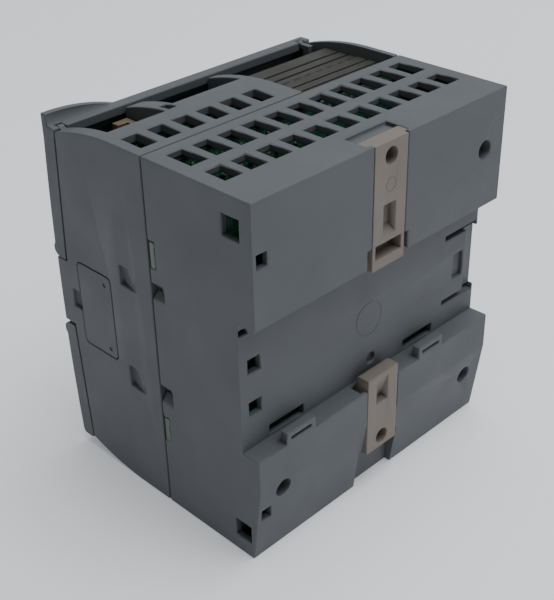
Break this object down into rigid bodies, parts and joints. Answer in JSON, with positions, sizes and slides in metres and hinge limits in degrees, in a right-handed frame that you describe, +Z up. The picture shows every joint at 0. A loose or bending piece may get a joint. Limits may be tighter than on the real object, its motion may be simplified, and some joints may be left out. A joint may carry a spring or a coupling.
{
  "type": "rail-mounted controller module",
  "caption": "Compact rail-mounted controller module: vented two-part grey housing, hinged terminal doors, removable connector covers and sliding rail clips.",
  "frame": {"origin": "middle of the bottom face of the module's box", "axes": "+X to the right seen from the front, +Y to the rear (rail side), +Z up"},
  "size_m": [0.09, 0.075, 0.1],
  "materials": {
    "housing_grey": "fine textured blue-grey moulding",
    "clip_beige": "smooth beige moulding",
    "circuit_board": "dark green solder mask",
    "terminal_grey": "dark warm grey moulding",
    "component_black": "moulded black",
    "plated_steel": "tin plated",
    "socket_tan": "tan moulding",
    "capacitor_sleeve": "shrink sleeve",
    "copper_winding": "enamelled wire",
    "cooler_aluminium": "extruded",
    "clear_plastic": "clear moulding"
  },
  "bodies": {
    "module": {"rear_housing": "housing_grey", "front_housing": "housing_grey", "power_board": "circuit_board", "io_board": "circuit_board", "logic_board": "circuit_board", "rear_stack_connector": "component_black", "front_stack_connector": "component_black", "upper_io_header": "terminal_grey", "upper_io_plug": "terminal_grey", "upper_io_clamps": "plated_steel", "upper_io_screws": "plated_steel", "analogue_header": "terminal_grey", "analogue_plug": "terminal_grey", "analogue_clamps": "plated_steel", "analogue_screws": "plated_steel", "lower_io_header": "terminal_grey", "lower_io_plug": "terminal_grey", "lower_io_clamps": "plated_steel", "lower_io_screws": "plated_steel", "network_socket": "plated_steel", "memory_card_slot": "socket_tan", "bus_connector": "component_black", "side_port_connector": "component_black", "expansion_connector": "component_black", "power_transformer": "component_black", "input_capacitors": "capacitor_sleeve", "output_capacitors": "capacitor_sleeve", "mains_choke": "copper_winding", "input_fuse": "plated_steel", "power_switch": "cooler_aluminium", "output_relays": "component_black", "processor_chip": "component_black", "driver_chips": "component_black", "backup_capacitor": "plated_steel", "status_lamps": "clear_plastic", "lamp_light_pipes": "clear_plastic"},
    "upper_door": {"upper_door": "housing_grey"},
    "lower_door": {"lower_door": "housing_grey"},
    "upper_clip": {"upper_rail_clip": "clip_beige"},
    "lower_clip": {"lower_rail_clip": "clip_beige"},
    "bus_cover": {"bus_cover": "housing_grey"},
    "side_port_cover": {"side_port_cover": "housing_grey"},
    "expansion_cover": {"expansion_cover": "housing_grey"}
  },
  "joints": [
    {"name": "upper_door_hinge", "type": "hinge", "parent": "module", "child": "upper_door", "pos_m": [0, -0.0319, 0.096], "axis": [-1, 0, 0], "range_deg": [0, 90]},
    {"name": "lower_door_hinge", "type": "hinge", "parent": "module", "child": "lower_door", "pos_m": [0, -0.0319, 0.004], "axis": [1, 0, 0], "range_deg": [0, 90]},
    {"name": "upper_clip_slide", "type": "slide", "parent": "module", "child": "upper_clip", "axis": [0, 0, 1], "range_m": [0, 0.008]},
    {"name": "lower_clip_slide", "type": "slide", "parent": "module", "child": "lower_clip", "axis": [0, 0, -1], "range_m": [0, 0.019]},
    {"name": "bus_cover_pull", "type": "slide", "parent": "module", "child": "bus_cover", "axis": [1, 0, 0], "range_m": [0, 0.012]},
    {"name": "side_port_cover_pull", "type": "slide", "parent": "module", "child": "side_port_cover", "axis": [-1, 0, 0], "range_m": [0, 0.012]},
    {"name": "expansion_cover_pull", "type": "slide", "parent": "module", "child": "expansion_cover", "axis": [0, -1, 0], "range_m": [0, 0.012]}
  ]
}
